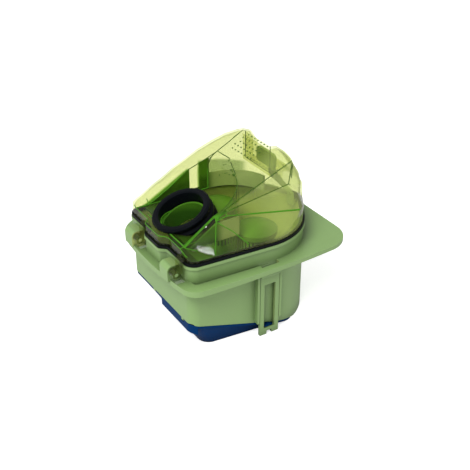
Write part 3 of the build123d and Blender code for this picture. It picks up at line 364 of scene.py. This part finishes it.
def duct_plastic():
    """Inlet duct moulding: painted shade on its foot, and painted light on its tall wall and where it opens
    to the shrouds.
    """
    material = moulded("duct_green_moulding", DUCT_GREEN, DUCT_PALE, specular=0.2, Drift=0.3, Gloss=0.3,
                       Recess_shade=0.2)
    tree = material.node_tree
    x, y, z = split_place(tree, place_in_part(tree))
    # painted light at the mouth and on the tall wall, painted shade at the foot
    mouth = ramp(tree, math_node(tree, "MULTIPLY_ADD", y, DUCT_MOUTH_SKEW, x), *DUCT_MOUTH_X)
    green = mix_colours(tree, ramp(tree, z, *DUCT_FOOT_Z), DUCT_SHADE, DUCT_GREEN)
    green = mix_colours(tree, ramp(tree, z, *DUCT_TALL_Z), green, DUCT_TALL_PAINTED_LIGHT)
    colour_skin(tree, mix_colours(tree, mouth, green, DUCT_MOUTH_PAINTED_LIGHT))
    return material


def crease_plastic():
    """Fold lines and dots: dark olive on the upper ones, brighter green as painted highlight on the lower
    ones; the fold lines are painted shade along the hood's folds.
    """
    material = moulded("crease_green", CREASE_GREEN, CREASE_BRIGHT, specular=0.2, Drift=0.3, Gloss=0.3,
                       Recess_shade=0.0)
    tree = material.node_tree
    # painted highlight on the lower lines
    low = ramp(tree, split_place(tree, place_in_part(tree))["Z"], *CREASE_BRIGHT_Z)
    colour_skin(tree, mix_colours(tree, low, CREASE_GREEN, CREASE_BRIGHT))
    return material


def far_wall_shade_share(tree, x, y, z):
    """Share of the painted shade: the far wall under the arch, apart from the gap beside the inlet, left
    clear for a painted highlight.
    """
    rising = math_node(tree, "MULTIPLY", x, ARCH_RISE)
    falling = math_node(tree, "MULTIPLY", x, ARCH_FALL)
    over_arch = math_node(tree, "SUBTRACT", z, math_node(tree, "MINIMUM", rising, falling))
    low_wall = math_node(tree, "MULTIPLY", ramp(tree, over_arch, *ARCH_TOP_Z), ramp(tree, y, *FAR_WALL_Y))
    gap = math_node(tree, "MULTIPLY", ramp(tree, x, *FAR_GAP_START_X), ramp(tree, x, *FAR_GAP_END_X))
    return math_node(tree, "MULTIPLY", low_wall, math_node(tree, "SUBTRACT", 1.0, gap))


def haze_and_light_share(tree, x, y, z):
    """Share of haze: most on the near walls towards the rear and the top, hardly any on the roof; beyond the
    slight haze all over, this is painted light for the lit inside.
    """
    amount = math_node(tree, "MULTIPLY_ADD", ramp(tree, x, *HAZE_REAR_X), HAZE_REAR, HAZE_NEAR)
    amount = math_node(tree, "MULTIPLY_ADD", ramp(tree, z, *HAZE_HIGH_Z), HAZE_HIGH, amount)
    height = math_node(tree, "MULTIPLY", z, ROOF_NORMAL_Z)
    under_roof = ramp(tree, math_node(tree, "MULTIPLY_ADD", x, ROOF_NORMAL_X, height), *ROOF_LEVEL)
    over_catch = math_node(tree, "MULTIPLY", ramp(tree, x, *HAZE_OVER_CATCH_X), HAZE_OVER_CATCH)
    walls = math_node(tree, "MAXIMUM", under_roof, over_catch)
    walls = math_node(tree, "MULTIPLY", walls, ramp(tree, x, *HAZE_NEAR_X))
    near_walls = math_node(tree, "MULTIPLY", ramp(tree, y, *HAZE_NEAR_Y), walls)
    return math_node(tree, "MULTIPLY_ADD", near_walls, amount, HAZE_ALL_OVER)


def clear_plastic():
    """Clear yellow-green moulding: tinted see-through wall with painted shade on its far wall, haze that is
    partly painted light, and a mirror at the edges.
    """
    material, tree = new_material("clear_hood")
    add, link = tree.nodes.new, tree.links.new
    tree.nodes.remove(tree.nodes["Principled BSDF"])
    slant = add("ShaderNodeLayerWeight").outputs["Facing"]
    front = math_node(tree, "SUBTRACT", 1.0, add("ShaderNodeNewGeometry").outputs["Backfacing"])
    x, y, z = split_place(tree, place_in_part(tree))
    wall = mix_colours(tree, ramp(tree, x, *WALL_OLIVE_X), WALL_DARK, WALL_OLIVE)
    tint_and_shade = mix_colours(tree, math_node(tree, "POWER", slant, TINT_POWER), HOOD_TINT, HOOD_DEEP)
    # painted shade on the far wall
    tint_and_shade = mix_colours(tree, far_wall_shade_share(tree, x, y, z), tint_and_shade, wall)
    shadow = add("ShaderNodeLightPath").outputs["Is Shadow Ray"]
    clear = add("ShaderNodeBsdfTransparent")
    link(mix_colours(tree, shadow, tint_and_shade, HOOD_SHADOW), clear.inputs["Color"])
    haze = add("ShaderNodeBsdfDiffuse")
    haze.inputs["Color"].default_value = (*HOOD_HAZE, 1)
    mirror = add("ShaderNodeBsdfGlossy")
    mirror.inputs["Roughness"].default_value = HOOD_ROUGHNESS
    # haze, most of it on the near walls as painted light for the lit inside
    hazy = math_node(tree, "MULTIPLY", front, haze_and_light_share(tree, x, y, z))
    body = mix_shaders(tree, hazy, clear.outputs["BSDF"], haze.outputs["BSDF"])
    shine = math_node(tree, "POWER", slant, SHINE_POWER)
    shine = math_node(tree, "MULTIPLY_ADD", shine, SHINE_EDGE, SHINE_FACING)
    shine = math_node(tree, "MULTIPLY", front, shine)
    surface = mix_shaders(tree, shine, body, mirror.outputs["BSDF"])
    link(surface, tree.nodes["Material Output"].inputs["Surface"])
    return material


def compare(tree, operation, value, limit):
    node = tree.nodes.new("FunctionNodeCompare")
    node.data_type = "FLOAT"
    node.operation = operation
    tree.links.new(value, node.inputs["A"])
    tree.links.new(limit, node.inputs["B"])
    return node.outputs["Result"]


def over(tree, value, limit):
    return compare(tree, "GREATER_THAN", value, limit)


def under(tree, value, limit):
    return compare(tree, "LESS_THAN", value, limit)


def logic(tree, operation, first, second):
    node = tree.nodes.new("FunctionNodeBooleanMath")
    node.operation = operation
    tree.links.new(first, node.inputs[0])
    tree.links.new(second, node.inputs[1])
    return node.outputs[0]


def all_of(tree, first, *others):
    """Socket that is true where all the given ones are."""
    for other in others:
        first = logic(tree, "AND", first, other)
    return first


def piece_tree(name, **values):
    """Geometry Nodes tree that takes a mesh and named numbers; returns it with the sockets of these."""
    tree = bpy.data.node_groups.new(name, "GeometryNodeTree")
    add_socket(tree, "Geometry", "INPUT", "NodeSocketGeometry")
    add_numbers(tree, **values)
    add_socket(tree, "Geometry", "OUTPUT", "NodeSocketGeometry")
    return tree, tree.nodes.new("NodeGroupInput").outputs


def rounding_tree():
    """Geometry Nodes: shade smooth apart from edges sharper than the angle."""
    tree, taken = piece_tree("Rounded shading", Angle=math.radians(ROUND_ANGLE))
    add, link = tree.nodes.new, tree.links.new
    angle = add("GeometryNodeInputMeshEdgeAngle").outputs["Unsigned Angle"]
    faces = add("GeometryNodeSetShadeSmooth")
    faces.domain = "FACE"
    link(taken["Geometry"], faces.inputs["Geometry"])
    edges = add("GeometryNodeSetShadeSmooth")
    edges.domain = "EDGE"
    edges.inputs["Shade Smooth"].default_value = False
    link(faces.outputs["Geometry"], edges.inputs["Geometry"])
    link(over(tree, angle, taken["Angle"]), edges.inputs["Selection"])
    link(edges.outputs["Geometry"], add("NodeGroupOutput").inputs["Geometry"])
    return tree


def input_id(tree, name):
    """Identifier of a tree's named input, by which a modifier's value is set."""
    return [s.identifier for s in tree.interface.items_tree if s.in_out == "INPUT" and s.name == name][0]


ROUNDING = rounding_tree()


def weld(piece):
    """Joins the piece's loose triangles, without touching its own mesh."""
    modifier = piece.modifiers.new("Weld", "WELD")
    modifier.merge_threshold = WELD_GAP


def dress(material, *names, angle=ROUND_ANGLE):
    """Gives CAD nodes their material and rounds their shading."""
    for name in names:
        piece = nodes[name]
        piece.data.materials.clear()
        piece.data.materials.append(material)
        weld(piece)
        rounded = piece.modifiers.new("Rounded shading", "NODES")
        rounded.node_group = ROUNDING
        rounded[input_id(ROUNDING, "Angle")] = math.radians(angle)


tub_green = tub_plastic()
duct_green = duct_plastic()
shroud_green = moulded("shroud_green_moulding", SHROUD_GREEN, SHROUD_PALE, specular=0.3, Drift=0.35,
                       Gloss=0.3)
flap_blue = moulded("flap_blue_moulding", FLAP_BLUE, FLAP_PALE, specular=0.03, Drift=0.5, Gloss=0.3)
seal_black = moulded("seal_black_rubber", SEAL_BLACK, SEAL_GREY, specular=0.08, Drift=0.5, Gloss=0.34,
                     Grain_depth=0.08)
# the catch's lighter green and missing recess shade are painted light where it sits under the roof
catch_green = moulded("catch_green_moulding", CATCH_GREEN, TUB_PALE, specular=0.3, Drift=0.3, Gloss=0.3,
                      Recess_shade=0.0)
pin_steel = moulded("pin_steel", PIN_STEEL, PIN_BRIGHT, Drift=0.4, Gloss=0.25)
filter_paper = moulded("filter_paper", FILTER_WHITE, FILTER_SHADE, Drift=0.5, Gloss=0.8)
crease_green = crease_plastic()
hood_clear = clear_plastic()

dress(tub_green, "bin_tub", "side_latch_near", "side_latch_far", "lid_hinge_pin_far", "lid_hinge_pin_near")
dress(duct_green, "inlet_duct")
dress(shroud_green, "separator_deck", "shroud_near", "shroud_far", "shroud_cap_near", "shroud_cap_far",
      "vortex_tube_near", "vortex_tube_far", "filter_frame")
dress(hood_clear, "lid_hood", angle=HOOD_ROUND_ANGLE)
dress(flap_blue, "base_flap")
dress(seal_black, "lid_gasket", "inlet_seal_ring", "base_seal")
dress(catch_green, "lid_catch")
dress(pin_steel, "base_hinge_pin", "side_latch_pin_near", "side_latch_pin_far", "lid_catch_pin",
      "lid_catch_spring", "deck_screws")
dress(filter_paper, "pleated_filter")


def finish_tree(tree, geometry, material):
    """Ends a tree: real copies, painted with the material."""
    add, link = tree.nodes.new, tree.links.new
    real = add("GeometryNodeRealizeInstances")
    link(geometry, real.inputs["Geometry"])
    painted = add("GeometryNodeSetMaterial")
    painted.inputs["Material"].default_value = material
    link(real.outputs["Geometry"], painted.inputs["Geometry"])
    link(painted.outputs["Geometry"], add("NodeGroupOutput").inputs["Geometry"])


def made_by_nodes(name, tree, source, body):
    """Plain mesh that a Geometry Nodes tree makes from a welded copy of a piece, riding on a body."""
    maker = bpy.data.objects.new(name + "_maker", source.data.copy())
    bpy.context.scene.collection.objects.link(maker)
    weld(maker)
    maker.modifiers.new(name, "NODES").node_group = tree
    evaluated = maker.evaluated_get(bpy.context.evaluated_depsgraph_get())
    mesh = bpy.data.meshes.new_from_object(evaluated)
    bpy.data.objects.remove(maker)
    piece = bpy.data.objects.new(name, mesh)
    bpy.context.scene.collection.objects.link(piece)
    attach(piece, body)


def cast_ray(tree, target, way):
    """Ray node from each point, in one direction, to the target."""
    ray = tree.nodes.new("GeometryNodeRaycast")
    tree.links.new(target, ray.inputs["Target Geometry"])
    ray.inputs["Ray Direction"].default_value = way
    ray.inputs["Ray Length"].default_value = RAY_REACH
    return ray


def fold_choice(tree, taken, x, y, z):
    """Socket that is true on the folds that get a line: sharp enough, in sight and within the limits."""
    add, link = tree.nodes.new, tree.links.new
    angle = add("GeometryNodeInputMeshEdgeAngle").outputs["Unsigned Angle"]
    fan = all_of(tree, over(tree, angle, taken["Fan angle"]), over(tree, x, taken["Fan start"]),
                 under(tree, x, taken["Fan end"]), under(tree, y, taken["Fan side"]))
    sharp = logic(tree, "OR", over(tree, angle, taken["Angle"]), fan)
    rise = math_node(tree, "MULTIPLY_ADD", x, CREASE_RISE, CREASE_MIDDLE_Z)
    lowest = math_node(tree, "MAXIMUM", rise, taken["Low limit"])
    outside = logic(tree, "OR", over(tree, z, taken["Clear top"]), under(tree, z, taken["Clear low"]))
    kept = logic(tree, "NAND", over(tree, x, taken["Clear start"]), outside)
    normal = add("GeometryNodeInputNormal").outputs["Normal"]
    place = add("GeometryNodeInputPosition").outputs["Position"]
    lifted = vector_math(tree, "MULTIPLY_ADD", normal, taken["Lift"], place)
    hidden = []
    for way in CREASE_VIEWS:
        ray = cast_ray(tree, taken["Geometry"], way)
        link(lifted.outputs["Vector"], ray.inputs["Source Position"])
        hidden.append(ray.outputs["Is Hit"])
    return all_of(tree, sharp, under(tree, y, taken["Far limit"]), over(tree, z, lowest),
                  under(tree, x, taken["Rear limit"]), kept, logic(tree, "NAND", *hidden))


def crease_tree(material):
    """Geometry Nodes: painted dark lines along the folds that lie in sight, standing in for the shade that a
    clear moulding shows there.
    """
    tree, taken = piece_tree(
        "Hood creases", Radius=CREASE_RADIUS, Lift=CREASE_LIFT, Angle=math.radians(CREASE_ANGLE),
        Fan_angle=math.radians(FAN_ANGLE), Fan_start=FAN_START_X, Fan_end=FAN_END_X, Fan_side=FAN_Y,
        Wide_limit=CREASE_WIDE_Z, Far_limit=CREASE_FAR_Y, Low_limit=CREASE_LOW_Z, Rear_limit=CREASE_REAR_X,
        Clear_start=CREASE_CLEAR_X, Clear_low=CREASE_CLEAR_LOW_Z, Clear_top=CREASE_CLEAR_TOP_Z)
    add, link = tree.nodes.new, tree.links.new
    x, y, z = split_place(tree, add("GeometryNodeInputPosition").outputs["Position"])
    lines = add("GeometryNodeMeshToCurve")
    link(taken["Geometry"], lines.inputs["Mesh"])
    link(fold_choice(tree, taken, x, y, z), lines.inputs["Selection"])
    ring = add("GeometryNodeCurvePrimitiveCircle")
    ring.inputs["Resolution"].default_value = CREASE_SIDES
    link(taken["Radius"], ring.inputs["Radius"])
    tube = add("GeometryNodeCurveToMesh")
    link(lines.outputs["Curve"], tube.inputs["Curve"])
    link(ring.outputs["Curve"], tube.inputs["Profile Curve"])
    wide = all_of(tree, under(tree, z, taken["Wide limit"]), over(tree, x, taken["Fan end"]))
    link(math_node(tree, "MULTIPLY_ADD", wide, CREASE_WIDER, 1.0), tube.inputs["Scale"])
    tube.inputs["Fill Caps"].default_value = True
    finish_tree(tree, tube.outputs["Mesh"], material)
    return tree


def dot_rows(tree, along, across, corner):
    """Grid of points above the roof, every second row of the dots."""
    rows = DOT_ROWS // 2
    length = (rows - 1) * along
    width = (DOTS_PER_ROW - 1) * across
    grid = tree.nodes.new("GeometryNodeMeshGrid")
    grid.inputs["Vertices X"].default_value = rows
    grid.inputs["Vertices Y"].default_value = DOTS_PER_ROW
    grid.inputs["Size X"].default_value = length
    grid.inputs["Size Y"].default_value = width
    moved = tree.nodes.new("GeometryNodeTransform")
    tree.links.new(grid.outputs["Mesh"], moved.inputs["Geometry"])
    middle = (corner[0] + length / 2, corner[1] + width / 2, DOT_DROP_Z)
    moved.inputs["Translation"].default_value = middle
    return moved.outputs["Geometry"]


def dot_tree(material):
    """Geometry Nodes: staggered rows of round grip dots laid on the roof from above."""
    tree, taken = piece_tree("Grip dots", Dot_radius=DOT_RADIUS, Dot_height=DOT_HEIGHT, Steepest=DOT_STEEPEST)
    add, link = tree.nodes.new, tree.links.new
    row_gap = DOT_PITCH * math.sqrt(3) / 2
    points = add("GeometryNodeJoinGeometry")
    x, y = DOT_CORNER
    link(dot_rows(tree, 2 * row_gap, DOT_PITCH, (x, y)), points.inputs[0])
    link(dot_rows(tree, 2 * row_gap, DOT_PITCH, (x + row_gap, y + DOT_PITCH / 2)), points.inputs[0])
    drop = cast_ray(tree, taken["Geometry"], (0, 0, -1))
    upward = split_place(tree, drop.outputs["Hit Normal"])["Z"]
    kept = add("GeometryNodeDeleteGeometry")
    link(points.outputs["Geometry"], kept.inputs["Geometry"])
    link(under(tree, upward, taken["Steepest"]), kept.inputs["Selection"])
    laid = add("GeometryNodeSetPosition")
    link(kept.outputs["Geometry"], laid.inputs["Geometry"])
    link(drop.outputs["Hit Position"], laid.inputs["Position"])
    roof = add("GeometryNodeSampleNearestSurface")
    roof.data_type = "FLOAT_VECTOR"
    link(taken["Geometry"], roof.inputs["Mesh"])
    link(add("GeometryNodeInputNormal").outputs["Normal"], roof.inputs["Value"])
    turned = add("FunctionNodeAlignRotationToVector")
    turned.axis = "Z"
    link(roof.outputs["Value"], turned.inputs["Vector"])
    dot = add("GeometryNodeMeshCylinder")
    dot.inputs["Vertices"].default_value = DOT_SIDES
    link(taken["Dot radius"], dot.inputs["Radius"])
    link(taken["Dot height"], dot.inputs["Depth"])
    copies = add("GeometryNodeInstanceOnPoints")
    link(laid.outputs["Geometry"], copies.inputs["Points"])
    link(dot.outputs["Mesh"], copies.inputs["Instance"])
    link(turned.outputs["Rotation"], copies.inputs["Rotation"])
    finish_tree(tree, copies.outputs["Instances"], material)
    return tree


made_by_nodes("hood_creases", crease_tree(crease_green), nodes["lid_hood"], "lid")
made_by_nodes("hood_grip_dots", dot_tree(crease_green), nodes["lid_hood"], "lid")


def studio_floor():
    """Pale floor that the camera sees as white, with the part's shadow on it."""
    bpy.ops.mesh.primitive_plane_add(size=FLOOR_SIZE, location=(0, 0, -FLOOR_DROP))
    floor = bpy.context.object
    floor.name = "studio_floor"
    material, tree = new_material("studio_floor")
    shader = tree.nodes["Principled BSDF"]
    shader.inputs["Base Color"].default_value = (*FLOOR_GREY, 1)
    shader.inputs["Roughness"].default_value = FLOOR_ROUGHNESS
    shader.inputs["Emission Color"].default_value = (1, 1, 1, 1)
    camera_ray = tree.nodes.new("ShaderNodeLightPath").outputs["Is Camera Ray"]
    glow = math_node(tree, "MULTIPLY", camera_ray, FLOOR_GLOW)
    tree.links.new(glow, shader.inputs["Emission Strength"])
    floor.data.materials.append(material)


def studio_world():
    """Even light from all round, which the camera sees as white, also through clear pieces."""
    world = bpy.data.worlds.new("studio_world")
    world.use_nodes = True
    tree = world.node_tree
    back = tree.nodes["Background"]
    back.inputs["Color"].default_value = (1, 1, 1, 1)
    ray = tree.nodes.new("ShaderNodeLightPath").outputs
    seen = math_node(tree, "MAXIMUM", ray["Is Camera Ray"], ray["Is Transmission Ray"])
    strength = math_node(tree, "MULTIPLY_ADD", seen, 1 - WORLD_LIGHT, WORLD_LIGHT)
    tree.links.new(strength, back.inputs["Strength"])
    bpy.context.scene.world = world


def studio_lamps():
    """Soft key light over the hinge end and a narrow strip for a glint on the hood, aimed at the part."""
    for name, place, width, depth, power, seen_in_gloss in LAMPS:
        light = bpy.data.lights.new(name, "AREA")
        light.shape = "RECTANGLE"
        light.size = width
        light.size_y = depth
        light.energy = power
        lamp = bpy.data.objects.new(name, light)
        lamp.visible_glossy = seen_in_gloss
        lamp.location = place
        aim = CAMERA_AIM - Vector(place)
        lamp.rotation_euler = aim.to_track_quat("-Z", "Y").to_euler()
        bpy.context.scene.collection.objects.link(lamp)


def photo_camera():
    """Camera at the photograph's place."""
    swing = math.radians(CAMERA_SWING)
    rise = math.radians(CAMERA_RAISE)
    ahead = Vector((math.cos(rise) * math.sin(swing), math.cos(rise) * math.cos(swing), -math.sin(rise)))
    data = bpy.data.cameras.new("photo_camera")
    data.sensor_fit = "HORIZONTAL"
    data.angle = 2 * math.atan(PHOTO_PIXELS / 2 / FOCAL_PIXELS)
    data.clip_start = CAMERA_NEAREST
    camera = bpy.data.objects.new("photo_camera", data)
    camera.location = CAMERA_AIM - CAMERA_DISTANCE * ahead
    camera.rotation_euler = ahead.to_track_quat("-Z", "Y").to_euler()
    bpy.context.scene.collection.objects.link(camera)
    bpy.context.scene.camera = camera


studio_floor()
studio_world()
studio_lamps()
photo_camera()
bpy.context.scene.view_settings.view_transform = "Standard"
